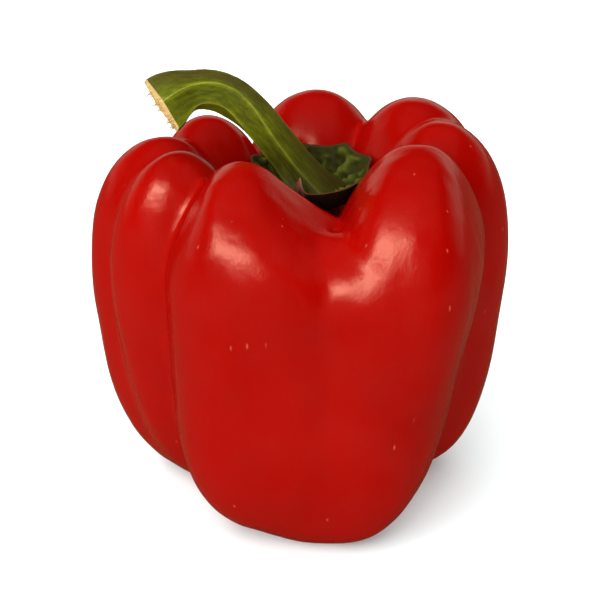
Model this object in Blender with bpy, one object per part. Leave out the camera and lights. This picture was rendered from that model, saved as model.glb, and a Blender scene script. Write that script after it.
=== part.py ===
"""A ripe red bell pepper standing on the feet of its lobes, with its calyx and its bent, cut stem.

Run with blender --background --python part.py. Units are metres, +Z is up, and the origin is on
the ground under the middle of the whole pepper. The pod is a soft union of lobes, each a
superellipsoid that leans from its foot to its shoulder. The stem is a ribbed tube swept along a
Bezier curve, and the calyx is a turned cup with toothed sepals. Dimensions below are in
millimetres and angles in degrees.
"""
import bpy
import numpy as np

MM = 0.001

# Every piece is shaped about the pod's upright axis. Moving that axis here puts the middle of the
# whole pepper over the origin.
POD_AXIS = (0.0, 3.3)

# Pod. A lobe bulges by "outer" towards its facing, by "inner" away from it and by "width" across it.
# "square" is 2 for an oval section and more for a squarer one. "crest" shifts the lobe's top aside,
# and "pinch" narrows it there by that share of its width.
CORE_RADIUS = 16.0          # squat cylinder inside the pod that the surface is found from
CORE_LOW = 14.0
CORE_HIGH = 55.0
RAY_REACH = 45.0
RAY_STEPS = 30
GROUND_FLAT = 0.01          # skin nearer the ground than this lies flat on it
POD_RINGS = 44
POD_SPOKES = 76
LOBE_FIELDS = ("shoulder_x", "shoulder_y", "foot_x", "foot_y", "crest_x", "crest_y", "pinch", "facing",
               "outer", "inner", "width", "square", "top", "high_waist", "low_waist", "bottom")
CARPELS = (
    # (softness inside the carpel low down, softness at the shoulders, its lobes)
    (9, 24,
     ((-6.5, -14.5, -4.4, -14.5, -5, 0, 0.36, -98, 25, 5, 21, 2.6, 83.8, 57, 32, -1),     # front left
      (24.2, -12.8, 14, -9, -0.4, 0, 0.06, -98, 27.8, 8, 16.8, 2.8, 86.6, 55, 32, 0.6),   # front right
      (9, -25, 7, -24.5, 0, 0, 0, -104, 13.3, 6, 18, 2.8, 72.6, 59, 32, 0.3))),           # saddle
    (12, 34,
     ((24.8, 14, 17, 8, 0, 0, 0, 33, 18, 16, 19, 2.3, 85.2, 47, 33.5, 1),                 # right, back half
      (29.7, 3.5, 23.5, 2, 0, 0, 0, 4, 18, 16, 15, 2, 84.5, 46, 33.5, 1))),               # right, front half
    (20, 20,
     ((3.5, 24, 2, 12, 0, 0, 0, 83, 12, 15.5, 17, 2, 83.3, 54, 37.5, 0),)),               # back
    (20, 20,
     ((-19.6, 12.2, -12, 9, 0, 0, 0, 150, 16, 16, 13.6, 2, 82.1, 47, 37.5, 0.3),)),      # back left
    (24, 24,
     ((-28.5, 3, -22, 1, 0, 0, 0, 174, 20, 18, 13.2, 2, 81.4, 40, 33.5, 0.6),              # left, back half
      (-25, -7.5, -18, -2, 0, 0, 0, 198, 18, 16, 13, 2, 82.3, 46, 33.5, 0.8))),           # left, front half
    (20, 20,
     ((2, 0, -4, -5, 0, 0, 0, 0, 18, 18, 18, 2.2, 68, 31.5, 31.5, 2),)),                  # under the calyx
)
CREST_FROM = 0.3            # share of the way from high waist to top where the crest's shift starts,
CREST_TO = 0.9              # and where it is complete
TOP_ROUND = 2.05            # 2 is an elliptic shoulder, more is a fuller one
BOTTOM_ROUND = 2.4
GROOVE_SOFT_LOW = 13.0      # softness of the grooves between carpels at the sides and feet,
GROOVE_SOFT_HIGH = 26.0     # and at the shoulders
SHOULDER_FROM = 42.0
SHOULDER_TO = 72.0

# Calyx: a shallow cup in the hollow between the shoulders.
CALYX_AXIS = (2.3, 0.0)
CALYX_BOTTOM = 69.3
CALYX_FLOOR = 71.4
CALYX_RIM = 75.4
CALYX_SEAT_RADIUS = 8.7
CALYX_RIM_RADIUS = 12.2
CALYX_WALL = 1.0
CALYX_SEAT_CURVE = 0.5      # rise of the underside from its middle to its edge
CALYX_WALL_CURVE = 1.3      # above 1 the wall is steeper at the rim than at the floor
CALYX_SPOKES = 72
# Sepal teeth: (direction, angular width, rise, outward reach)
SEPAL_POINT = 1.5           # 1 is a sharp point, 2 a bell
SEPALS = ((22, 11, 0.6, 1.8), (54, 13, 1.4, 1.0), (105, 14, 0.8, 0.6), (158, 12, 0.9, 1.6),
          (206, 13, 0.7, 0.8), (238, 9, -2.0, -0.6), (255, 7, 3.0, -1.6), (318, 14, 0.5, 0.2))

# Stem: rings along a Bezier curve. The first ring lies level in the cup.
STEM_CURVE = ((1.4, 0.0, 71.8), (-8.9, 0.0, 88.0), (-15.2, -1.5, 100.2), (-28.2, -7.5, 93.4))
STEM_RADIUS = 3.95
STEM_FOOT_FLARE = 2.5       # added radius at the foot
STEM_FOOT_END = 0.16        # where along the curve, 0 to 1, the foot's flare ends
STEM_HEAD_FLARE = 2.2       # added radius at the cut end
STEM_HEAD_START = 0.8
STEM_LEVEL_END = 0.25       # where along the curve the rings have turned square to it
STEM_UNDER_SWELL = 0.1      # extra radius of the cut end's underside, as a share
STEM_RIBS = 6
STEM_RIB_DEPTH = 0.055      # as a share of the radius
STEM_RINGS = 30
STEM_SPOKES = 36
STEM_CUT_DISH = 0.6         # how far the cut face is hollowed

POD_RED = (0.45, 0.012, 0.006)
CALYX_GREEN = (0.045, 0.055, 0.015)
STEM_GREEN = (0.13, 0.17, 0.02)


def smooth_step(value, start, end):
    """0 before start, 1 after end, with an S-shaped rise between."""
    share = np.clip((value - start) / (end - start), 0.0, 1.0)
    return share * share * (3.0 - 2.0 * share)


def soft_min(gauges, softness):
    """Smallest of several gauges, rounded where two are nearly equal."""
    stack = np.stack(gauges)
    least = stack.min(axis=0)
    return least - np.log(np.exp(-softness * (stack - least)).sum(axis=0)) / softness


def lobe_gauge(points, values):
    """Gauge of one lobe: below 1 inside, 1 on its surface.

    The lobe's centre line slides from its foot to its shoulder, and its crest may stand aside of
    that. Between its waists the lobe is upright, and beyond them its outline is a superellipse.
    """
    lobe = dict(zip(LOBE_FIELDS, values))
    x, y, z = points[..., 0], points[..., 1], points[..., 2]
    above = np.clip((z - lobe["high_waist"]) / (lobe["top"] - lobe["high_waist"]), 0.0, None)
    below = np.clip((lobe["low_waist"] - z) / (lobe["low_waist"] - lobe["bottom"]), 0.0, None)
    lean = smooth_step(z, lobe["bottom"], lobe["top"])
    crest = smooth_step(above, CREST_FROM, CREST_TO)
    from_x = x - lobe["foot_x"] - (lobe["shoulder_x"] - lobe["foot_x"]) * lean - lobe["crest_x"] * crest
    from_y = y - lobe["foot_y"] - (lobe["shoulder_y"] - lobe["foot_y"]) * lean - lobe["crest_y"] * crest
    facing = np.radians(lobe["facing"])
    outward = from_x * np.cos(facing) + from_y * np.sin(facing)
    across = from_y * np.cos(facing) - from_x * np.sin(facing)
    depth = np.where(outward > 0.0, lobe["outer"], lobe["inner"])
    width = lobe["width"] * (1.0 - lobe["pinch"] * crest)
    square = lobe["square"]
    section = (np.abs(outward / depth) ** square + np.abs(across / width) ** square) ** (1.0 / square)
    power = np.where(above > 0.0, TOP_ROUND, BOTTOM_ROUND)
    return (section ** power + (above + below) ** power) ** (1.0 / power)


def softness_at(points, low, high):
    """Softness of a join, changing from its low value to its high value up the shoulders."""
    return low + (high - low) * smooth_step(points[..., 2], SHOULDER_FROM, SHOULDER_TO)


def pod_gauge(points):
    """Gauge of the whole pod about its axis, from the lobes of all carpels."""
    carpels = [soft_min([lobe_gauge(points, lobe) for lobe in lobes], softness_at(points, low, high))
               for low, high, lobes in CARPELS]
    return soft_min(carpels, softness_at(points, GROOVE_SOFT_LOW, GROOVE_SOFT_HIGH))


def core_rays(rings, spokes):
    """Starts and directions of the rays: down from the base of the core, round its lower edge,
    sideways from its wall, round its upper edge, and up from its top.
    """
    station = np.linspace(0.0, 1.0, rings)
    corners = (0.0, 0.1, 0.27, 0.55, 0.82, 1.0)
    radius = np.interp(station, corners, (0.0, CORE_RADIUS, CORE_RADIUS, CORE_RADIUS, CORE_RADIUS, 0.0))
    height = np.interp(station, corners, (CORE_LOW, CORE_LOW, CORE_LOW, CORE_HIGH, CORE_HIGH, CORE_HIGH))
    climb = np.radians(np.interp(station, corners, (-90.0, -90.0, 0.0, 0.0, 90.0, 90.0)))
    turn = np.linspace(0.0, 2.0 * np.pi, spokes, endpoint=False)
    outward = np.stack([np.cos(turn), np.sin(turn), np.zeros(spokes)], axis=-1)
    upward = np.array([0.0, 0.0, 1.0])
    starts = radius[:, None, None] * outward + height[:, None, None] * upward
    rays = np.cos(climb)[:, None, None] * outward + np.sin(climb)[:, None, None] * upward
    return starts, rays


def pod_grid(rings, spokes):
    """Points of the pod's surface, in rings from the middle of its base to the stem's hollow.

    Each ray from the core meets the surface once, and the meeting point is found by halving.
    What would be under the ground is cut level with it, a small flat on each foot.
    """
    starts, rays = core_rays(rings, spokes)
    near = np.zeros((rings, spokes, 1))
    far = np.full((rings, spokes, 1), RAY_REACH)
    for _ in range(RAY_STEPS):
        middle = (near + far) / 2.0
        points = starts + rays * middle
        inside = ((pod_gauge(points) < 1.0) & (points[..., 2] > 0.0))[..., None]
        near = np.where(inside, middle, near)
        far = np.where(inside, far, middle)
    points = starts + rays * near
    points[..., 2] = np.where(points[..., 2] < GROUND_FLAT, 0.0, points[..., 2])
    return points


def sepal_shape(turn):
    """Rise and outward reach of the calyx rim in each direction."""
    rise = np.zeros_like(turn)
    reach = np.zeros_like(turn)
    for bearing, width, high, out in SEPALS:
        off = np.degrees(np.angle(np.exp(1j * (turn - np.radians(bearing)))))
        tooth = np.exp(-np.abs(off / width) ** SEPAL_POINT)
        rise += high * tooth
        reach += out * tooth
    return rise, reach


def calyx_grid(spokes):
    """Rings of the calyx: out along its underside, up the wall, over the rim and back inside."""
    turn = np.linspace(0.0, 2.0 * np.pi, spokes, endpoint=False)
    rise, reach = sepal_shape(turn)
    rim_radius = CALYX_RIM_RADIUS + reach
    rim_height = CALYX_RIM + rise
    seat_height = CALYX_BOTTOM + CALYX_SEAT_CURVE
    floor_radius = CALYX_SEAT_RADIUS - CALYX_WALL / 2.0
    rings = [(CALYX_SEAT_RADIUS * share, CALYX_BOTTOM + CALYX_SEAT_CURVE * share ** 2)
             for share in (0.35, 0.7, 1.0)]
    rings += [(CALYX_SEAT_RADIUS + (rim_radius - CALYX_SEAT_RADIUS) * climb,
               seat_height + (rim_height - seat_height) * climb ** CALYX_WALL_CURVE)
              for climb in (0.2, 0.4, 0.6, 0.8, 0.93, 1.0)]
    rings += [(floor_radius + (rim_radius - CALYX_WALL / 2.0 - floor_radius) * climb,
               CALYX_FLOOR + (rim_height - CALYX_FLOOR) * climb ** CALYX_WALL_CURVE)
              for climb in (0.96, 0.75, 0.5, 0.25, 0.0)]
    rings += [(floor_radius * share, CALYX_FLOOR) for share in (0.7, 0.35)]
    grid = np.empty((len(rings), spokes, 3))
    for row, (radius, height) in enumerate(rings):
        grid[row, :, 0] = CALYX_AXIS[0] + radius * np.cos(turn)
        grid[row, :, 1] = CALYX_AXIS[1] + radius * np.sin(turn)
        grid[row, :, 2] = height
    return grid


def bezier(ends, along):
    """Points and unit tangents of a cubic Bezier curve at the given shares of its length."""
    ends = np.array(ends)
    back = 1.0 - along
    weights = np.stack([back ** 3, 3 * back ** 2 * along, 3 * back * along ** 2, along ** 3], axis=-1)
    slopes = np.stack([back ** 2, 2 * back * along, along ** 2], axis=-1)
    tangents = slopes @ np.diff(ends, axis=0)
    return weights @ ends, tangents / np.linalg.norm(tangents, axis=-1, keepdims=True)


def stem_grid(rings, spokes):
    """Rings of the stem from its foot in the cup to the cut, then the dished cut face."""
    along = np.linspace(0.0, 1.0, rings)
    centre, tangent = bezier(STEM_CURVE, along)
    level = 1.0 - smooth_step(along, 0.0, STEM_LEVEL_END)[:, None]
    facing = tangent * (1.0 - level) + np.array([0.0, 0.0, 1.0]) * level
    facing /= np.linalg.norm(facing, axis=-1, keepdims=True)
    side = np.array([0.0, 1.0, 0.0]) - facing * facing[:, 1:2]
    side /= np.linalg.norm(side, axis=-1, keepdims=True)
    outer = np.cross(side, facing)
    turn = np.linspace(0.0, 2.0 * np.pi, spokes, endpoint=False)
    foot = np.clip(1.0 - along / STEM_FOOT_END, 0.0, 1.0) ** 2
    head = smooth_step(along, STEM_HEAD_START, 1.0)
    radius = STEM_RADIUS + STEM_FOOT_FLARE * foot + STEM_HEAD_FLARE * head
    ribs = 1.0 + STEM_RIB_DEPTH * np.cos(STEM_RIBS * turn)
    under = 1.0 + STEM_UNDER_SWELL * head[:, None] * np.clip(-np.cos(turn), 0.0, 1.0)
    size = radius[:, None] * ribs * under
    arm = np.cos(turn)[None, :, None] * outer[:, None, :] + np.sin(turn)[None, :, None] * side[:, None, :]
    grid = centre[:, None, :] + size[..., None] * arm
    face = [grid[-1] + (centre[-1] - grid[-1]) * share - facing[-1] * STEM_CUT_DISH * share ** 0.5
            for share in (0.12, 0.5)]
    base = grid[0] + (centre[0] - grid[0]) * 0.6
    return np.concatenate([base[None], grid, np.stack(face)])


def closed_mesh(name, grid):
    """Mesh with quads between neighbouring rings and a fan to a pole at each end."""
    rings, spokes = grid.shape[:2]
    points = np.concatenate([grid[0].mean(axis=0)[None], grid.reshape(-1, 3), grid[-1].mean(axis=0)[None]])
    points[:, :2] += POD_AXIS
    spoke = np.arange(spokes)
    following = (spoke + 1) % spokes
    faces = [(0, 1 + b, 1 + a) for a, b in zip(spoke, following)]
    for ring in range(rings - 1):
        low = 1 + ring * spokes
        high = low + spokes
        faces += [(low + a, low + b, high + b, high + a) for a, b in zip(spoke, following)]
    last = 1 + (rings - 1) * spokes
    faces += [(last + a, last + b, len(points) - 1) for a, b in zip(spoke, following)]
    mesh = bpy.data.meshes.new(name)
    mesh.from_pydata((points * MM).tolist(), [], [tuple(int(i) for i in face) for face in faces])
    mesh.update()
    mesh.shade_smooth()
    return mesh


def add_object(name, grid, colour, roughness):
    """One piece of the pepper with its own material."""
    mesh = closed_mesh(name, grid)
    material = bpy.data.materials.new(name)
    material.use_nodes = True
    shader = material.node_tree.nodes["Principled BSDF"]
    shader.inputs["Base Color"].default_value = (*colour, 1.0)
    shader.inputs["Roughness"].default_value = roughness
    shader.inputs["Metallic"].default_value = 0.0
    mesh.materials.append(material)
    piece = bpy.data.objects.new(name, mesh)
    bpy.context.scene.collection.objects.link(piece)
    return piece


def clear_scene():
    """Remove every object of the scene."""
    for item in list(bpy.data.objects):
        bpy.data.objects.remove(item, do_unlink=True)


def build():
    """The pod, the calyx in its hollow and the stem that rises from the calyx."""
    clear_scene()
    add_object("pod", pod_grid(POD_RINGS, POD_SPOKES), POD_RED, 0.25)
    add_object("calyx", calyx_grid(CALYX_SPOKES), CALYX_GREEN, 0.6)
    add_object("stem", stem_grid(STEM_RINGS, STEM_SPOKES), STEM_GREEN, 0.45)


build()
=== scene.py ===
"""Looks for the ripe red bell pepper: waxy lobed pod, puckered calyx, ribbed stem with its torn cut.

Shapes are worked out in millimetres about the pod's upright axis, then moved to their place in
metres. A surface is a grid of rings and spokes, closed by a pole at each end.
"""
import math

import bpy
import numpy as np
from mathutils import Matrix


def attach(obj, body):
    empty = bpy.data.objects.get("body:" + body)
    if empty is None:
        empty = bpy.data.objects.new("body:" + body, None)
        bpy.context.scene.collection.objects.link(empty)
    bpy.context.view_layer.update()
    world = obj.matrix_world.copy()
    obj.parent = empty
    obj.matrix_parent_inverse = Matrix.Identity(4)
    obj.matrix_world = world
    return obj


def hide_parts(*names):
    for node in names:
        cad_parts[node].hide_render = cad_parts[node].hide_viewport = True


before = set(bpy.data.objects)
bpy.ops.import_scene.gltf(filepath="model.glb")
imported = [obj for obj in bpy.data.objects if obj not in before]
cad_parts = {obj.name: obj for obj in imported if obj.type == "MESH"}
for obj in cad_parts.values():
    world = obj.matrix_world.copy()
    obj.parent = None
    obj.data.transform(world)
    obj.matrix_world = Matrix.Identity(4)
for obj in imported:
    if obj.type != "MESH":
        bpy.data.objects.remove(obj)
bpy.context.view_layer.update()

MM = 0.001
POD_AXIS = (0.0, 3.3)
UP = np.array([0.0, 0.0, 1.0])
SWELL_WAVES = 20
SWELL_SPREAD = (0.7, 1.5)   # shortest and longest of its waves, as shares of the wavelength
SWELL_DIVISOR = 5.0

# ---------------------------------------------------------------- pod dimensions, mm and degrees
CORE_RADIUS = 16.0
CORE_LOW = 14.0
CORE_HIGH = 55.0
RAY_REACH = 45.0
RAY_STEPS = 21
POD_RINGS = 282
POD_SPOKES = 344
LOBE_FIELDS = ("shoulder_x", "shoulder_y", "foot_x", "foot_y", "crest_x", "crest_y", "pinch", "facing",
               "outer", "inner", "width", "square", "top", "high_waist", "low_waist", "bottom")
CARPELS = (
    # (softness inside the carpel low down, softness at the shoulders, its lobes), where the higher
    # a softness is, the sharper is the join
    (9, 24,
     ((-6.5, -14.5, -4.4, -14.5, -5, 0, 0.36, -98, 25, 5, 21, 2.6, 83.8, 57, 32, -1),    # front left
      (24.2, -12.8, 14, -9, -0.4, 0, 0.06, -98, 27.8, 8, 16.8, 2.8, 86.6, 55, 32, 0.6),  # front right
      (9, -25, 7, -24.5, 0, 0, 0, -104, 13.3, 6, 18, 2.8, 72.6, 59, 32, 0.3))),          # saddle
    (12, 34,
     ((24.8, 14, 17, 8, 0, 0, 0, 33, 18, 16, 19, 2.3, 85.2, 47, 33.5, 1),                # right, back half
      (29.7, 3.5, 23.5, 2, 0, 0, 0, 4, 18, 16, 15, 2, 84.5, 46, 33.5, 1))),              # right, front half
    (20, 20,
     ((3.5, 24, 2, 12, 0, 0, 0, 83, 12, 15.5, 17, 2, 83.3, 54, 37.5, 0),)),              # back
    (20, 20,
     ((-19.6, 12.2, -12, 9, 0, 0, 0, 150, 16, 16, 13.6, 2, 82.1, 47, 37.5, 0.3),)),      # back left
    (24, 24,
     ((-28.5, 3, -22, 1, 0, 0, 0, 174, 20, 18, 13.2, 2, 81.4, 40, 33.5, 0.6),            # left, back half
      (-25, -7.5, -18, -2, 0, 0, 0, 198, 18, 16, 13, 2, 82.3, 46, 33.5, 0.8))),          # left, front half
    (20, 20,
     ((2, 0, -4, -5, 0, 0, 0, 0, 18, 18, 18, 2.2, 68, 31.5, 31.5, 2),)),                 # under the calyx
)
CREST_FROM = 0.3            # share of the way from high waist to top where the crest's shift starts,
CREST_TO = 0.9              # and where it is complete
TOP_ROUND = 2.05            # 2 is an elliptic shoulder, more is a fuller one
BOTTOM_ROUND = 2.4
GROOVE_SOFT_LOW = 13.0      # softness of the joins between carpels at the sides and feet,
GROOVE_SOFT_HIGH = 26.0     # and at the shoulders, where they are sharper
SHOULDER_FROM = 42.0        # heights between which a softness goes from its low to its high value
SHOULDER_TO = 72.0
# Relief of the skin: (height, wavelength, seed, how much longer it runs upright than across)
BROAD_SWELLS = (0.16, 17.0, 3, 1.8)
LOW_SWELLS = (0.05, 5.0, 5, 3.0)
GROOVE_PLEATS = (0.11, 2.6, 8, 5.0)
FLANK_RIDGES = (0.12, 7.0, 13, 3.5)
FLANK_BEARING = -0.6        # radians round from +X: the right flank of the front carpel
FLANK_SPREAD = 14.0         # degrees to either side at which the ridges are down to about a third
GROOVE_SPREAD = 0.1         # the same for the pleats, as a difference of two carpels' gauges
WALL_RISE = (3.0, 14.0)     # heights between which pleats and ridges come in,
WALL_END = (60.0, 74.0)     # and go out
FOOT_RISE = 4.0             # below this height all relief fades, so that the feet stand flat,
FOOT_LEVEL = 0.01           # and what is lower than this is put on the ground

# ---------------------------------------------------------------- calyx
CALYX_AXIS = (2.3, 0.0)
CALYX_BOTTOM = 69.3
CALYX_FLOOR = 71.4
CALYX_RIM = 75.4
CALYX_SEAT_RADIUS = 8.7
CALYX_RIM_RADIUS = 12.2
CALYX_WALL = 1.0
CALYX_SEAT_CURVE = 0.5
CALYX_WALL_CURVE = 1.3
CALYX_SPOKES = 360
CALYX_PUCKERS = (0.8, 3.4, 21)          # height, wavelength, seed
CALYX_FINE_PUCKERS = (0.15, 1.4, 22)
CALYX_PLEATS = (0.1, 17.0)              # height, half as many as there are round the cup
CALYX_WRINKLES = (0.06, 2.2, 24, 4.0)   # height, wavelength, seed, upright stretch
CALYX_EDGE = 0.015          # how far the torn edge reaches to either side of the rim, along the way
# Sepal teeth: (direction, angular width, rise, outward reach)
SEPALS = ((22, 11, 0.6, 1.8), (54, 13, 1.4, 1.0), (105, 14, 0.8, 0.6), (158, 12, 0.9, 1.6),
          (206, 13, 0.7, 0.8), (238, 9, -2.0, -0.6), (257, 4, 3.0, -1.6), (318, 14, 0.5, 0.2))
PALE_TIP = (257, 5)         # bearing of the sepal tip that has dried pale, and how far the pale reaches

# ---------------------------------------------------------------- stem
STEM_CURVE = ((1.4, 0.0, 71.8), (-8.9, 0.0, 88.0), (-15.2, -1.5, 100.2), (-28.2, -7.5, 93.4))
STEM_RADIUS = 3.95
STEM_FOOT_FLARE = 2.5
STEM_FOOT_END = 0.16
STEM_HEAD_FLARE = 2.2
STEM_HEAD_START = 0.8
STEM_LEVEL_END = 0.25
STEM_UNDER_SWELL = 0.1
STEM_BUTTRESS = 1.6
STEM_BUTTRESS_END = 0.42
STEM_RIBS = 6
STEM_RIB_DEPTH = 0.075
STEM_RIB_POWER = 0.8        # less than 1 makes the hollows between ribs wider
STEM_RINGS = 220
STEM_SPOKES = 180
STEM_SWAY = 0.25            # radians by which the ribs sway to either side,
STEM_SWAY_WAVE = 7.0        # and radians of that wave from foot to head
STEM_GRAIN = (0.05, 0.9, 31, 12.0)      # height, wavelength, seed, stretch along the stem
STEM_LUMPS = (0.08, 4.0, 32, 3.0)
STEM_FLOW_LENGTH = 30.0     # length and radius of the straight rod that stands for the stem
STEM_FLOW_RADIUS = 4.0      # where a pattern follows its growth
STEM_CUT_DISH = 0.6
STEM_CUT_TEAR = (0.14, 0.9, 33)         # height, wavelength, seed
FIBRES = 34
FIBRE_TURNS = (60.0, 200.0)             # degrees round the cut from its upper edge, over the far side
FIBRE_ROOTS = (3.0, 6.0)                # distance from the middle of the cut
FIBRE_LENGTHS = (0.7, 1.8)
FIBRE_RADIUS = 0.2
FIBRE_DEPTH = 0.6                       # how deep a fibre is rooted in the cut
FIBRE_STRAY = 0.55                      # spread of its direction, as a share of its length
FIBRE_BEND = 0.5                        # spread of its bend, likewise

# ---------------------------------------------------------------- camera
CAMERA_AIM = (0.0, -2.0, 45.0)          # about the pod's axis, mm
CAMERA_DISTANCE = 400.0                 # mm
CAMERA_TILT = 29.0                      # degrees down from level
CAMERA_LENS = 110.0                     # focal length and sensor width, mm
CAMERA_SENSOR = 36.0

# ---------------------------------------------------------------- lights
LIGHT_AIM = 0.05            # height in metres of the point they face
# (name, azimuth and elevation in degrees, distance and size in metres, watts, colour, gloss only)
LIGHTS = (
    ("softbox_gloss", -35.0, 36.0, 1.2, (1.1, 0.66), 20.0, "#fff4e6", True),
    ("softbox_core", -35.0, 36.0, 1.19, (0.7, 0.3), 18.0, "#fff4e6", True),
    ("softbox_fill", -46.0, 40.0, 1.8, (1.8, 1.8), 32.0, "#ffffff", False),
    ("overhead_fill", 0.0, 89.0, 1.8, (3.2, 3.2), 72.0, "#ffffff", False),
    ("front_fill", -15.0, 20.0, 2.0, (2.6, 1.6), 32.0, "#ffffff", False),
)


# ---------------------------------------------------------------- shape tools
def smooth_step(value, start, end):
    """0 before start, 1 after end, with an S-shaped rise between."""
    share = np.clip((value - start) / (end - start), 0.0, 1.0)
    return share * share * (3.0 - 2.0 * share)


def soft_min(gauges, softness):
    """Smallest of several gauges, rounded where two are nearly equal: the logarithm of a sum of
    exponentials. The higher the softness, the tighter the rounding."""
    stack = np.stack(gauges)
    least = stack.min(axis=0)
    return least - np.log(np.exp(-softness * (stack - least)).sum(axis=0)) / softness


def swell(points, wavelength, seed, stretch=(1.0, 1.0, 1.0)):
    """Smooth random hills, mostly between -1 and 1: a sum of plane waves in random directions,
    scaled down, with wavelengths near the one given, longer along a stretched axis."""
    rng = np.random.default_rng(seed)
    ways = rng.normal(size=(SWELL_WAVES, 3))
    ways /= np.linalg.norm(ways, axis=1, keepdims=True)
    lengths = wavelength * rng.uniform(*SWELL_SPREAD, (SWELL_WAVES, 1))
    ways *= 2.0 * np.pi / lengths / np.array(stretch)
    phases = rng.uniform(0.0, 2.0 * np.pi, SWELL_WAVES)
    return np.cos(points @ ways.T + phases).sum(axis=-1) / SWELL_DIVISOR


def long_swell(points, relief, axis=2):
    """Swell with the height, wavelength and seed of a relief, stretched along one axis."""
    height, wavelength, seed, stretch = relief
    stretches = np.ones(3)
    stretches[axis] = stretch
    return height * swell(points, wavelength, seed, stretches)


def grid_normals(grid):
    """Unit normals of a grid closed round its spokes: the cross product of its two directions."""
    round_way = np.roll(grid, -1, axis=1) - np.roll(grid, 1, axis=1)
    ring_way = np.gradient(grid, axis=0)
    normals = np.cross(round_way, ring_way)
    return normals / (np.linalg.norm(normals, axis=-1, keepdims=True) + 1e-12)


def closed_piece(name, grids, marks=None, flows=None):
    """Object with quads between neighbouring rings and a fan to a pole at each end of each grid.

    Marks are named values on a single grid, from 0 to 1, that the material reads, and flows are
    positions that follow the growth.
    """
    points, faces = [], []
    start = 0
    for grid in grids:
        rings, spokes = grid.shape[:2]
        points += [grid[0].mean(axis=0)[None], grid.reshape(-1, 3), grid[-1].mean(axis=0)[None]]
        ring, spoke = np.meshgrid(np.arange(rings - 1), np.arange(spokes), indexing="ij")
        low = start + 1 + ring * spokes
        following = (spoke + 1) % spokes
        high = low + spokes
        quads = np.stack([low + spoke, low + following, high + following, high + spoke], axis=-1)
        around = np.arange(spokes)
        after = (around + 1) % spokes
        last = start + 1 + (rings - 1) * spokes
        first_fan = np.stack([np.full(spokes, start), start + 1 + after, start + 1 + around], axis=-1)
        last_fan = np.stack([last + around, last + after, np.full(spokes, last + spokes)], axis=-1)
        faces += quads.reshape(-1, 4).tolist() + first_fan.tolist() + last_fan.tolist()
        start = last + spokes + 1
    points = np.concatenate(points)
    points[:, :2] += POD_AXIS
    mesh = bpy.data.meshes.new(name)
    mesh.from_pydata((points * MM).tolist(), [], faces)
    for mark, values in (marks or {}).items():
        flat = np.concatenate([[values[0].mean()], values.ravel(), [values[-1].mean()]])
        mesh.attributes.new(mark, "FLOAT", "POINT").data.foreach_set("value", flat.astype(np.float32))
    for mark, values in (flows or {}).items():
        flat = np.concatenate([values[0].mean(axis=0), values.ravel(), values[-1].mean(axis=0)])
        data = mesh.attributes.new(mark, "FLOAT_VECTOR", "POINT").data
        data.foreach_set("vector", flat.astype(np.float32))
    mesh.update()
    mesh.shade_smooth()
    piece = bpy.data.objects.new(name, mesh)
    bpy.context.scene.collection.objects.link(piece)
    return piece


# ---------------------------------------------------------------- pod
def lobe_gauge(points, values):
    """Gauge of one lobe: below 1 inside, 1 on its surface. The centre line slides from foot to
    shoulder and bends aside towards the crest, where a lobe can be pinched narrow. A level section
    is a superellipse, and so is the outline beyond the waists."""
    lobe = dict(zip(LOBE_FIELDS, values))
    x, y, z = points[..., 0], points[..., 1], points[..., 2]
    above = np.clip((z - lobe["high_waist"]) / (lobe["top"] - lobe["high_waist"]), 0.0, None)
    below = np.clip((lobe["low_waist"] - z) / (lobe["low_waist"] - lobe["bottom"]), 0.0, None)
    lean = smooth_step(z, lobe["bottom"], lobe["top"])
    crest = smooth_step(above, CREST_FROM, CREST_TO)
    from_x = x - lobe["foot_x"] - (lobe["shoulder_x"] - lobe["foot_x"]) * lean - lobe["crest_x"] * crest
    from_y = y - lobe["foot_y"] - (lobe["shoulder_y"] - lobe["foot_y"]) * lean - lobe["crest_y"] * crest
    facing = np.radians(lobe["facing"])
    outward = from_x * np.cos(facing) + from_y * np.sin(facing)
    across = from_y * np.cos(facing) - from_x * np.sin(facing)
    depth = np.where(outward > 0.0, lobe["outer"], lobe["inner"])
    square = lobe["square"]
    width = lobe["width"] * (1.0 - lobe["pinch"] * crest)
    section = (np.abs(outward / depth) ** square + np.abs(across / width) ** square) ** (1.0 / square)
    power = np.where(above > 0.0, TOP_ROUND, BOTTOM_ROUND)
    return (section ** power + (above + below) ** power) ** (1.0 / power)


def softness_at(points, low, high):
    """Softness of a join, changing from its low value to its high value up the shoulders."""
    return low + (high - low) * smooth_step(points[..., 2], SHOULDER_FROM, SHOULDER_TO)


def carpel_gauges(points):
    """Gauge of each carpel, from its lobes."""
    return [soft_min([lobe_gauge(points, lobe) for lobe in lobes], softness_at(points, low, high))
            for low, high, lobes in CARPELS]


def pod_gauge(points):
    """Gauge of the whole pod: the carpels' gauges, joined more sharply at the shoulders."""
    return soft_min(carpel_gauges(points), softness_at(points, GROOVE_SOFT_LOW, GROOVE_SOFT_HIGH))


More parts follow.
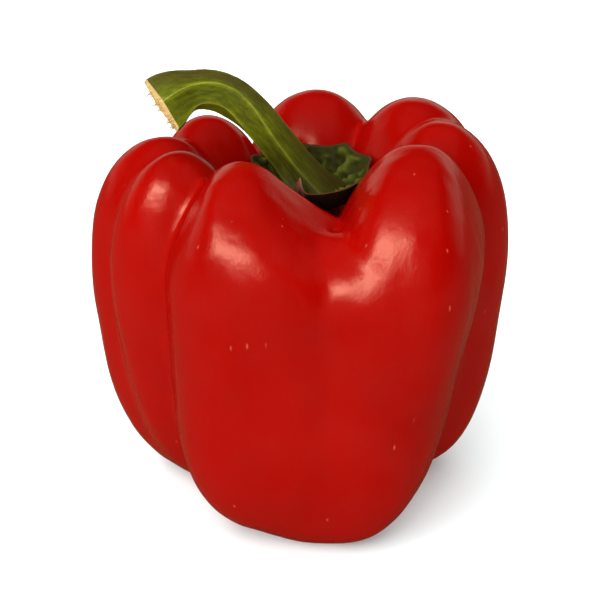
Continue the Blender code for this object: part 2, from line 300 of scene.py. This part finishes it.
def pod_surface(rings, spokes):
    """Rays leave a squat cylinder inside the pod, down, sideways and up, and halving finds where
    each one crosses gauge 1. What would be under the ground lies flat on it."""
    station = np.linspace(0.0, 1.0, rings)
    corners = (0.0, 0.1, 0.27, 0.55, 0.82, 1.0)
    radius = np.interp(station, corners, (0.0, CORE_RADIUS, CORE_RADIUS, CORE_RADIUS, CORE_RADIUS, 0.0))
    height = np.interp(station, corners, (CORE_LOW, CORE_LOW, CORE_LOW, CORE_HIGH, CORE_HIGH, CORE_HIGH))
    climb = np.radians(np.interp(station, corners, (-90.0, -90.0, 0.0, 0.0, 90.0, 90.0)))
    turn = np.linspace(0.0, 2.0 * np.pi, spokes, endpoint=False)
    outward = np.stack([np.cos(turn), np.sin(turn), np.zeros(spokes)], axis=-1)
    starts = radius[:, None, None] * outward + height[:, None, None] * UP
    rays = np.cos(climb)[:, None, None] * outward + np.sin(climb)[:, None, None] * UP
    near = np.zeros((rings, spokes, 1))
    far = np.full((rings, spokes, 1), RAY_REACH)
    for _ in range(RAY_STEPS):
        middle = (near + far) / 2.0
        points = starts + rays * middle
        inside = ((pod_gauge(points) < 1.0) & (points[..., 2] > 0.0))[..., None]
        near = np.where(inside, middle, near)
        far = np.where(inside, far, middle)
    return starts + rays * near


def pod_piece():
    """The pod's skin: the lobes' surface with low swells, fine pleats where carpels meet, and wavy
    ridges down one flank."""
    smooth = pod_surface(POD_RINGS, POD_SPOKES)
    gauges = np.sort(np.stack(carpel_gauges(smooth)), axis=0)
    groove = np.exp(-((gauges[1] - gauges[0]) / GROOVE_SPREAD) ** 2)
    height = smooth[..., 2]
    wall = smooth_step(height, *WALL_RISE) * (1.0 - smooth_step(height, *WALL_END))
    turn = np.arctan2(smooth[..., 1], smooth[..., 0])
    off_flank = np.degrees(np.angle(np.exp(1j * (turn - FLANK_BEARING))))
    flank = np.exp(-(off_flank / FLANK_SPREAD) ** 2)
    relief = long_swell(smooth, BROAD_SWELLS) + long_swell(smooth, LOW_SWELLS)
    relief += groove * wall * long_swell(smooth, GROOVE_PLEATS)
    relief += flank * wall * long_swell(smooth, FLANK_RIDGES)
    standing = smooth_step(height, 0.0, FOOT_RISE)
    grid = smooth + grid_normals(smooth) * (relief * standing)[..., None]
    grid[..., 2] = np.where(grid[..., 2] < FOOT_LEVEL, 0.0, grid[..., 2])
    return closed_piece("pod_skin", [grid])


# ---------------------------------------------------------------- calyx
def sepal_shape(turn):
    """Rise and outward reach of the calyx rim in each direction: a bell for each tooth."""
    rise = np.zeros_like(turn)
    reach = np.zeros_like(turn)
    for bearing, width, high, out in SEPALS:
        off = np.degrees(np.angle(np.exp(1j * (turn - np.radians(bearing)))))
        tooth = np.exp(-np.abs(off / width) ** 1.5)
        rise += high * tooth
        reach += out * tooth
    return rise, reach


def calyx_piece():
    """The calyx: rings out along its underside, up the wall, over the rim and back inside. Inside
    and out, the wall's height goes as a power of how far out it has come. The way along the rings
    is 0 underneath, up to 1 at the rim, up to 2 down the inside and 2.5 on the floor."""
    turn = np.linspace(0.0, 2.0 * np.pi, CALYX_SPOKES, endpoint=False)
    rise, reach = sepal_shape(turn)
    rim_radius = CALYX_RIM_RADIUS + reach
    rim_height = CALYX_RIM + rise
    seat_height = CALYX_BOTTOM + CALYX_SEAT_CURVE
    floor_radius = CALYX_SEAT_RADIUS - CALYX_WALL / 2.0
    rows = [(CALYX_SEAT_RADIUS * share, CALYX_BOTTOM + CALYX_SEAT_CURVE * share ** 2, 0.0)
            for share in np.linspace(0.1, 1.0, 10)]
    rows += [(CALYX_SEAT_RADIUS + (rim_radius - CALYX_SEAT_RADIUS) * climb,
              seat_height + (rim_height - seat_height) * climb ** CALYX_WALL_CURVE, climb)
             for climb in np.concatenate([np.linspace(0.06, 0.94, 15), [0.975, 1.0]])]
    rows += [(floor_radius + (rim_radius - CALYX_WALL / 2.0 - floor_radius) * climb,
              CALYX_FLOOR + (rim_height - CALYX_FLOOR) * climb ** CALYX_WALL_CURVE, 1.0 + (1.0 - climb))
             for climb in np.concatenate([[0.985, 0.95], np.linspace(0.9, 0.0, 22)])]
    rows += [(floor_radius * share, CALYX_FLOOR, 2.5) for share in np.linspace(0.94, 0.1, 14)]
    grid = np.empty((len(rows), CALYX_SPOKES, 3))
    way = np.empty((len(rows), CALYX_SPOKES))
    for row, (radius, height, place) in enumerate(rows):
        grid[row, :, 0] = CALYX_AXIS[0] + radius * np.cos(turn)
        grid[row, :, 1] = CALYX_AXIS[1] + radius * np.sin(turn)
        grid[row, :, 2] = height
        way[row] = place
    inside = smooth_step(way, 1.02, 1.2)
    height, wavelength, seed = CALYX_PUCKERS
    lumps = height * np.clip(swell(grid, wavelength, seed), -0.2, 1.0)
    height, wavelength, seed = CALYX_FINE_PUCKERS
    lumps += height * swell(grid, wavelength, seed)
    height, count = CALYX_PLEATS
    pleats = height * np.abs(np.sin(turn * count + 2.0 * np.sin(turn * 3.0)))
    pucker = inside * (lumps + pleats[None])
    outside = way < 1.0
    wrinkle = np.where(outside, long_swell(grid, CALYX_WRINKLES), 0.0)
    grid += grid_normals(grid) * (pucker + wrinkle)[..., None]
    edge = np.exp(-((way - 1.0) / CALYX_EDGE) ** 2)
    off_tip = (np.degrees(turn) - PALE_TIP[0]) / PALE_TIP[1]
    tip = np.exp(-off_tip ** 2)[None] * smooth_step(way, 0.55, 0.9) * (1.0 - smooth_step(way, 1.02, 1.1))
    # The wall mark is the outside of the cup, where the material paints shade.
    marks = {"edge": edge, "lump": smooth_step(pucker, -0.1, 1.1), "wall": outside.astype(float),
             "tip": tip}
    return closed_piece("calyx_cup", [grid], marks)


# ---------------------------------------------------------------- stem
def bezier(ends, along):
    """Points and unit tangents of a cubic Bezier curve where its parameter, 0 to 1, is along."""
    ends = np.array(ends)
    back = 1.0 - along
    weights = np.stack([back ** 3, 3 * back ** 2 * along, 3 * back * along ** 2, along ** 3], axis=-1)
    slopes = np.stack([back ** 2, 2 * back * along, along ** 2], axis=-1)
    tangents = slopes @ np.diff(ends, axis=0)
    return weights @ ends, tangents / np.linalg.norm(tangents, axis=-1, keepdims=True)


def stem_piece():
    """The stem: ribbed rings along the curve, then the dished, fibrous cut face. A ring's radius is
    the stem's, wider at foot and head, times its ribs, plus a buttress that rises from the foot on
    the outer side of the bend."""
    along = np.linspace(0.0, 1.0, STEM_RINGS)
    centre, tangent = bezier(STEM_CURVE, along)
    level = 1.0 - smooth_step(along, 0.0, STEM_LEVEL_END)[:, None]
    facing = tangent * (1.0 - level) + UP * level
    facing /= np.linalg.norm(facing, axis=-1, keepdims=True)
    side = np.array([0.0, 1.0, 0.0]) - facing * facing[:, 1:2]
    side /= np.linalg.norm(side, axis=-1, keepdims=True)
    outer = np.cross(side, facing)
    turn = np.linspace(0.0, 2.0 * np.pi, STEM_SPOKES, endpoint=False)
    foot = np.clip(1.0 - along / STEM_FOOT_END, 0.0, 1.0) ** 2
    head = smooth_step(along, STEM_HEAD_START, 1.0)
    radius = STEM_RADIUS + STEM_FOOT_FLARE * foot + STEM_HEAD_FLARE * head
    wander = STEM_SWAY * np.sin(along * STEM_SWAY_WAVE)[:, None] + turn[None]
    ridge = 1.0 - 2.0 * np.abs(np.sin(STEM_RIBS / 2.0 * wander)) ** STEM_RIB_POWER
    ribs = 1.0 + STEM_RIB_DEPTH * ridge
    under = 1.0 + STEM_UNDER_SWELL * head[:, None] * np.clip(-np.cos(turn), 0.0, 1.0)
    above = np.clip(np.cos(turn), 0.0, 1.0)
    buttress = np.clip(1.0 - along / STEM_BUTTRESS_END, 0.0, 1.0)[:, None] ** 2 * above
    size = radius[:, None] * ribs * under + STEM_BUTTRESS * buttress
    arm = np.cos(turn)[None, :, None] * outer[:, None, :] + np.sin(turn)[None, :, None] * side[:, None, :]
    skin = centre[:, None, :] + size[..., None] * arm
    flow = np.stack(np.broadcast_arrays(STEM_FLOW_LENGTH * along[:, None], STEM_FLOW_RADIUS * np.cos(turn),
                                        STEM_FLOW_RADIUS * np.sin(turn)), axis=-1)
    fibres = long_swell(flow, STEM_GRAIN, 0) + long_swell(flow, STEM_LUMPS, 0)
    skin += arm * fibres[..., None]
    shares = np.concatenate([[0.02, 0.05], np.linspace(0.1, 0.96, 26)])
    face = skin[-1] + (centre[-1] - skin[-1]) * shares[:, None, None]
    height, wavelength, seed = STEM_CUT_TEAR
    tear = height * swell(face, wavelength, seed) * smooth_step(shares, 0.0, 0.2)[:, None]
    dish = STEM_CUT_DISH * shares[:, None] ** 0.5 + tear
    face = face - facing[-1] * dish[..., None]
    base = centre[0] + (skin[0] - centre[0]) * np.linspace(0.1, 0.94, 10)[:, None, None]
    grid = np.concatenate([base, skin, face])
    blank = np.zeros((len(base), STEM_SPOKES))
    none = np.zeros(face.shape[:2])
    full = np.ones(face.shape[:2])
    # The material paints a highlight on the crest mark's ribs and shade in its hollows, and with the upper
    # mark a brown top that is partly painted shade.
    marks = {"cut": np.concatenate([blank, np.zeros_like(size), full]),
             "crest": np.concatenate([blank, np.clip(ridge, 0.0, 1.0), none]),
             "upper": np.concatenate([blank, np.broadcast_to(above, size.shape), none]),
             "length": np.concatenate([blank, np.broadcast_to(along[:, None], size.shape), full])}
    grain = np.concatenate([np.zeros(base.shape), flow, face])
    return closed_piece("stem_stalk", [grid], marks, {"grain": grain})


def fibre_piece():
    """Torn fibres round the far and lower rim of the cut: thin tapering hairs, each bent its own
    way along a parabola."""
    centre, tangent = bezier(STEM_CURVE, np.array([1.0]))
    side = np.array([0.0, 1.0, 0.0]) - tangent[0] * tangent[0, 1]
    side /= np.linalg.norm(side)
    outer = np.cross(side, tangent[0])
    rng = np.random.default_rng(41)
    turns = np.radians(rng.uniform(*FIBRE_TURNS, FIBRES))[:, None]
    arms = np.cos(turns) * outer + np.sin(turns) * side
    roots = centre[0] + arms * rng.uniform(*FIBRE_ROOTS, (FIBRES, 1))
    ways = tangent[0] + rng.normal(size=(FIBRES, 3)) * FIBRE_STRAY
    bends = rng.normal(size=(FIBRES, 3)) * FIBRE_BEND
    lengths = rng.uniform(*FIBRE_LENGTHS, FIBRES)
    share = np.linspace(0.0, 1.0, 7)
    round_way = np.linspace(0.0, 2.0 * np.pi, 7, endpoint=False)
    ring = np.cos(round_way)[:, None] * outer + np.sin(round_way)[:, None] * side
    grids = []
    for root, way, bend, length in zip(roots, ways, bends, lengths):
        reach = length * (way * share[:, None] + bend * share[:, None] ** 2)
        line = root - tangent[0] * FIBRE_DEPTH + reach
        grids.append(line[:, None, :] + ring * (FIBRE_RADIUS * (1.05 - share))[:, None, None])
    return closed_piece("stem_fibres", grids)


# ---------------------------------------------------------------- materials
def linear(colour):
    """Linear light, with alpha 1, from an sRGB hex colour."""
    parts = [int(colour[i:i + 2], 16) / 255.0 for i in (1, 3, 5)]
    return tuple(c / 12.92 if c <= 0.04045 else ((c + 0.055) / 1.055) ** 2.4 for c in parts) + (1.0,)


def add_node(tree, kind, links=None, **settings):
    """Adds one node with its settings, and gives each input in links a value or another's output."""
    node = tree.nodes.new(kind)
    for name, value in settings.items():
        setattr(node, name, value)
    for name, value in (links or {}).items():
        if isinstance(value, bpy.types.NodeSocket):
            tree.links.new(value, node.inputs[name])
        else:
            node.inputs[name].default_value = value
    return node


def new_material(name, **sockets):
    """Material with one Principled shader whose plain sockets are set directly."""
    material = bpy.data.materials.new(name)
    material.use_nodes = True
    shader = material.node_tree.nodes["Principled BSDF"]
    for socket, value in sockets.items():
        shader.inputs[socket.replace("_", " ")].default_value = value
    return material, material.node_tree, shader


def skin_material():
    """Ripe pepper skin, grown smooth under a natural wax: deep saturated red with slow changes of
    depth, fine upright streaks and shallow dimples that break the gloss, and a scatter of pale
    corky flecks."""
    material, tree, shader = new_material("waxy_red_skin", IOR=1.42, Specular_IOR_Level=0.16,
                                          Specular_Tint=linear("#fff0d7"))
    place = add_node(tree, "ShaderNodeTexCoord").outputs["Object"]
    # Noise scales are per metre. Depth of colour changes over about 22 mm.
    slow = add_node(tree, "ShaderNodeTexNoise",
                    {"Vector": place, "Scale": 45.0, "Detail": 2.0}).outputs["Fac"]
    deep = add_node(tree, "ShaderNodeMix", {"Factor": slow, "A": linear("#7a0200"), "B": linear("#8c0401")},
                    data_type="RGBA").outputs["Result"]
    # Flecks up to 0.6 mm wide, three times as long as wide, in some of the cells of a 3 mm grid.
    drawn = add_node(tree, "ShaderNodeMapping",
                     {"Vector": place, "Scale": (1.0, 1.0, 0.35)}).outputs["Vector"]
    cells = add_node(tree, "ShaderNodeTexVoronoi", {"Vector": drawn, "Scale": 300.0})
    spot = add_node(tree, "ShaderNodeMapRange", {"Value": cells.outputs["Distance"], "From Min": 0.09,
                                                 "From Max": 0.01}).outputs["Result"]
    chance = add_node(tree, "ShaderNodeSeparateColor", {"Color": cells.outputs["Color"]}).outputs["Red"]
    clustered = add_node(tree, "ShaderNodeMath", {0: chance, 1: slow}, operation="ADD").outputs["Value"]
    some = add_node(tree, "ShaderNodeMath", {0: clustered, 1: 1.1},
                    operation="GREATER_THAN").outputs["Value"]
    fleck = add_node(tree, "ShaderNodeMath", {0: spot, 1: some}, operation="MULTIPLY").outputs["Value"]
    faint = add_node(tree, "ShaderNodeMath", {0: fleck, 1: 0.32}, operation="MULTIPLY").outputs["Value"]
    flecked = add_node(tree, "ShaderNodeMix", {"Factor": faint, "A": deep, "B": linear("#cf7a58")},
                       data_type="RGBA")
    tree.links.new(flecked.outputs["Result"], shader.inputs["Base Color"])
    # Dimples about 2.4 mm apart, and streaks about 0.7 mm apart that run 10 mm upright.
    dimple = add_node(tree, "ShaderNodeTexNoise",
                      {"Vector": place, "Scale": 420.0, "Detail": 3.0}).outputs["Fac"]
    dimpled = add_node(tree, "ShaderNodeBump",
                       {"Height": dimple, "Strength": 0.7, "Distance": 0.12 * MM}).outputs["Normal"]
    upright = add_node(tree, "ShaderNodeMapping",
                       {"Vector": place, "Scale": (1.0, 1.0, 0.07)}).outputs["Vector"]
    streaks = add_node(tree, "ShaderNodeTexNoise",
                       {"Vector": upright, "Scale": 1400.0, "Detail": 3.0}).outputs["Fac"]
    streaked = add_node(tree, "ShaderNodeBump", {"Height": streaks, "Normal": dimpled, "Strength": 0.6,
                                                 "Distance": 0.06 * MM})
    tree.links.new(streaked.outputs["Normal"], shader.inputs["Normal"])
    # The wax is thicker and thinner over about 8 mm.
    patch = add_node(tree, "ShaderNodeTexNoise",
                     {"Vector": place, "Scale": 120.0, "Detail": 4.0}).outputs["Fac"]
    rough = add_node(tree, "ShaderNodeMapRange", {"Value": patch, "From Min": 0.3, "From Max": 0.7,
                                                  "To Min": 0.15, "To Max": 0.23})
    tree.links.new(rough.outputs["Result"], shader.inputs["Roughness"])
    return material


def calyx_material():
    """Dried sepals of the calyx, leathery and dull: dark olive, paler green on the puckers, painted
    shade in dark brown on the outside, with a thin reddish brown edge where they were torn and one pale
    pinkish tip."""
    material, tree, shader = new_material("leathery_calyx", Roughness=0.7, Specular_IOR_Level=0.03)
    place = add_node(tree, "ShaderNodeTexCoord").outputs["Object"]
    # Leathery grain of about 1.4 mm.
    grain = add_node(tree, "ShaderNodeTexNoise",
                     {"Vector": place, "Scale": 700.0, "Detail": 5.0}).outputs["Fac"]
    colour = add_node(tree, "ShaderNodeMix",
                      {"Factor": grain, "A": linear("#161706"), "B": linear("#302f0a")},
                      data_type="RGBA").outputs["Result"]
    # The wall tint is painted shade: the whole outside of the cup is dark brown.
    for mark, tint in (("lump", "#464c12"), ("edge", "#4c281a"), ("wall", "#1a0e08"), ("tip", "#94604c")):
        share = add_node(tree, "ShaderNodeAttribute", attribute_name=mark).outputs["Fac"]
        colour = add_node(tree, "ShaderNodeMix", {"Factor": share, "A": colour, "B": linear(tint)},
                          data_type="RGBA").outputs["Result"]
    tree.links.new(colour, shader.inputs["Base Color"])
    bump = add_node(tree, "ShaderNodeBump", {"Height": grain, "Strength": 0.5, "Distance": 0.2 * MM})
    tree.links.new(bump.outputs["Normal"], shader.inputs["Normal"])
    return material


def stem_material():
    """Woody green stem, satin where its skin is whole: green, streaked yellower along its growth
    and flecked darker, with a painted highlight as pale lines on the ribs, painted shade as dark olive
    in the hollows between them, brown along the top that also paints the shade of its upper edge,
    brown towards the foot, and a dry tan, fibrous face where it was cut."""
    material, tree, shader = new_material("woody_green_stem", Specular_IOR_Level=0.1)
    place = add_node(tree, "ShaderNodeTexCoord").outputs["Object"]
    grain = add_node(tree, "ShaderNodeAttribute", attribute_name="grain").outputs["Vector"]
    # Streaks about 0.8 mm wide and three times as long, on the grain mark, which is in millimetres,
    # and specks of about 0.7 mm.
    drawn = add_node(tree, "ShaderNodeMapping",
                     {"Vector": grain, "Scale": (0.35, 1.0, 1.0)}).outputs["Vector"]
    streaks = add_node(tree, "ShaderNodeTexNoise",
                       {"Vector": drawn, "Scale": 1.3, "Detail": 4.0}).outputs["Fac"]
    specks = add_node(tree, "ShaderNodeTexNoise",
                      {"Vector": place, "Scale": 1500.0, "Detail": 2.0}).outputs["Fac"]
    attribute = {}
    for mark in ("crest", "upper", "length", "cut"):
        attribute[mark] = add_node(tree, "ShaderNodeAttribute", attribute_name=mark).outputs["Fac"]
    # (what drives it, its value where the layer is absent, where it is full, strength, colour)
    layers = ((streaks, 0.3, 0.7, 1.0, "#6e7408"), (specks, 0.54, 0.72, 0.5, "#3a3a0a"),
              # Painted shade: dark olive in the hollows between the ribs.
              (attribute["crest"], 0.3, 0.0, 0.45, "#33320a"),
              # Painted highlight: pale lines along the tops of the ribs.
              (attribute["crest"], 0.7, 1.0, 0.65, "#a8a558"),
              # Brown along the top of the bend, partly real colour and partly painted shade along the stem's
              # upper edge.
              (attribute["upper"], 0.7, 1.0, 0.7, "#3a2c10"),
              (attribute["length"], 0.36, 0.03, 0.75, "#241c08"))
    colour = linear("#3d4900")
    for driver, absent, full, strength, tint in layers:
        share = add_node(tree, "ShaderNodeMapRange", {"Value": driver, "From Min": absent, "From Max": full,
                                                      "To Max": strength}).outputs["Result"]
        colour = add_node(tree, "ShaderNodeMix", {"Factor": share, "A": colour, "B": linear(tint)},
                          data_type="RGBA").outputs["Result"]
    # Cut fibres about 0.8 mm apart: real ones are finer, and too fine to show in a render.
    fibre = add_node(tree, "ShaderNodeTexNoise",
                     {"Vector": place, "Scale": 1200.0, "Detail": 4.0}).outputs["Fac"]
    dry = add_node(tree, "ShaderNodeMix", {"Factor": fibre, "A": linear("#8a652f"), "B": linear("#d9bb7c")},
                   data_type="RGBA").outputs["Result"]
    whole = add_node(tree, "ShaderNodeMix", {"Factor": attribute["cut"], "A": colour, "B": dry},
                     data_type="RGBA")
    tree.links.new(whole.outputs["Result"], shader.inputs["Base Color"])
    rough = add_node(tree, "ShaderNodeMapRange", {"Value": attribute["cut"], "To Min": 0.42, "To Max": 0.85})
    tree.links.new(rough.outputs["Result"], shader.inputs["Roughness"])
    bump = add_node(tree, "ShaderNodeBump", {"Height": streaks, "Strength": 0.4, "Distance": 0.2 * MM})
    tree.links.new(bump.outputs["Normal"], shader.inputs["Normal"])
    return material


def fibre_material():
    """Dry torn plant fibre: dull, pale straw."""
    material, _, _ = new_material("dry_straw_fibre", Base_Color=linear("#a98a52"), Roughness=0.85,
                                  Specular_IOR_Level=0.2)
    return material


# ---------------------------------------------------------------- studio
def add_camera():
    """Camera level in roll, looking down on the pepper from the front."""
    target = np.array([POD_AXIS[0] + CAMERA_AIM[0], POD_AXIS[1] + CAMERA_AIM[1], CAMERA_AIM[2]])
    tilt = math.radians(CAMERA_TILT)
    back = np.array([0.0, -math.cos(tilt), math.sin(tilt)])
    data = bpy.data.cameras.new("camera")
    data.sensor_width = CAMERA_SENSOR
    data.lens = CAMERA_LENS
    camera = bpy.data.objects.new("camera", data)
    camera.location = (target + back * CAMERA_DISTANCE) * MM
    camera.rotation_euler = (math.pi / 2.0 - tilt, 0.0, 0.0)
    bpy.context.scene.collection.objects.link(camera)
    bpy.context.scene.camera = camera


def add_light(name, azimuth, elevation, distance, size, power, colour, mirrored):
    """Area light aimed at the pepper. Azimuth is from the front, positive to the right. A mirrored
    light is seen only in the gloss, and the others light only the colours."""
    data = bpy.data.lights.new(name, "AREA")
    data.shape = "RECTANGLE"
    data.size, data.size_y = size
    data.energy = power
    data.color = linear(colour)[:3]
    light = bpy.data.objects.new(name, data)
    turn = math.radians(azimuth)
    climb = math.radians(elevation)
    level = distance * math.cos(climb)
    height = distance * math.sin(climb) + LIGHT_AIM
    light.location = (level * math.sin(turn), -level * math.cos(turn), height)
    light.rotation_euler = (math.pi / 2.0 - climb, 0.0, turn)
    light.visible_glossy = mirrored
    light.visible_diffuse = not mirrored
    bpy.context.scene.collection.objects.link(light)


def add_floor():
    """Plain white studio floor that glows a little, a painted light: the glow is least close to the pepper,
    a painted contact shadow, and most far off, where it meets the backdrop. Gloss sees it dim and warm."""
    mesh = bpy.data.meshes.new("floor")
    half = 4.0
    mesh.from_pydata([(-half, -half, 0.0), (half, -half, 0.0), (half, half, 0.0), (-half, half, 0.0)], [],
                     [(0, 1, 2, 3)])
    floor = bpy.data.objects.new("floor", mesh)
    bpy.context.scene.collection.objects.link(floor)
    material, tree, shader = new_material("matt_white_floor", Roughness=0.9, Specular_IOR_Level=0.0,
                                          Emission_Strength=1.0)
    glossy = add_node(tree, "ShaderNodeLightPath").outputs["Is Glossy Ray"]
    place = add_node(tree, "ShaderNodeTexCoord").outputs["Object"]
    reach = add_node(tree, "ShaderNodeVectorMath", {0: place}, operation="LENGTH").outputs["Value"]
    # The zones are distances in metres.
    far = add_node(tree, "ShaderNodeMapRange",
                   {"Value": reach, "From Min": 0.4, "From Max": 1.5}).outputs["Result"]
    # Painted contact shadow: the glow is dimmer within 0.045 to 0.11 m of the floor's middle, under the
    # pepper.
    clear = add_node(tree, "ShaderNodeMapRange", {"Value": reach, "From Min": 0.045, "From Max": 0.11},
                     interpolation_type="SMOOTHSTEP").outputs["Result"]
    near = add_node(tree, "ShaderNodeMix", {"Factor": clear, "A": linear("#606060"), "B": linear("#8e8e8e")},
                    data_type="RGBA").outputs["Result"]
    lit = add_node(tree, "ShaderNodeMix", {"Factor": far, "A": near, "B": linear("#ffffff")},
                   data_type="RGBA").outputs["Result"]
    # The faint cyan of the plain colour offsets the pink light that the pepper throws on the floor.
    for socket, plain, mirrored in (("Base Color", linear("#eaf4f4"), linear("#6c4c38")),
                                    ("Emission Color", lit, linear("#000000"))):
        shade = add_node(tree, "ShaderNodeMix", {"Factor": glossy, "A": plain, "B": mirrored},
                         data_type="RGBA")
        tree.links.new(shade.outputs["Result"], shader.inputs[socket])
    mesh.materials.append(material)


def add_surroundings():
    """Studio round the floor: a pale warm backdrop low down behind, dark overhead and in front, and
    white to the camera."""
    world = bpy.data.worlds.new("studio")
    bpy.context.scene.world = world
    world.use_nodes = True
    tree = world.node_tree
    shade = tree.nodes["Background"]
    way = add_node(tree, "ShaderNodeTexCoord").outputs["Generated"]
    split = add_node(tree, "ShaderNodeSeparateXYZ", {"Vector": way})
    behind = add_node(tree, "ShaderNodeMapRange",
                      {"Value": split.outputs["Y"], "From Min": -0.15, "From Max": 0.35}).outputs["Result"]
    low = add_node(tree, "ShaderNodeMapRange",
                   {"Value": split.outputs["Z"], "From Min": 0.5, "From Max": 0.2}).outputs["Result"]
    sweep = add_node(tree, "ShaderNodeMath", {0: behind, 1: low}, operation="MULTIPLY").outputs["Value"]
    dome = add_node(tree, "ShaderNodeMix", {"Factor": sweep, "A": linear("#0e0c0a"), "B": linear("#fff0d8")},
                    data_type="RGBA").outputs["Result"]
    seen = add_node(tree, "ShaderNodeLightPath").outputs["Is Camera Ray"]
    mixed = add_node(tree, "ShaderNodeMix", {"Factor": seen, "A": dome, "B": linear("#ffffff")},
                     data_type="RGBA")
    tree.links.new(mixed.outputs["Result"], shade.inputs["Color"])


# ---------------------------------------------------------------- assembly
def finish_piece(piece, material, node):
    """Gives the piece its material, hangs it under the root body and hides the CAD part that it stands for.
    """
    piece.data.materials.append(material)
    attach(piece, "root")
    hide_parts(node)


add_camera()
add_floor()
add_surroundings()
for light in LIGHTS:
    add_light(*light)

finish_piece(pod_piece(), skin_material(), "pod")
finish_piece(calyx_piece(), calyx_material(), "calyx")
finish_piece(stem_piece(), stem_material(), "stem")
finish_piece(fibre_piece(), fibre_material(), "stem")

bpy.context.scene.view_settings.view_transform = "Standard"
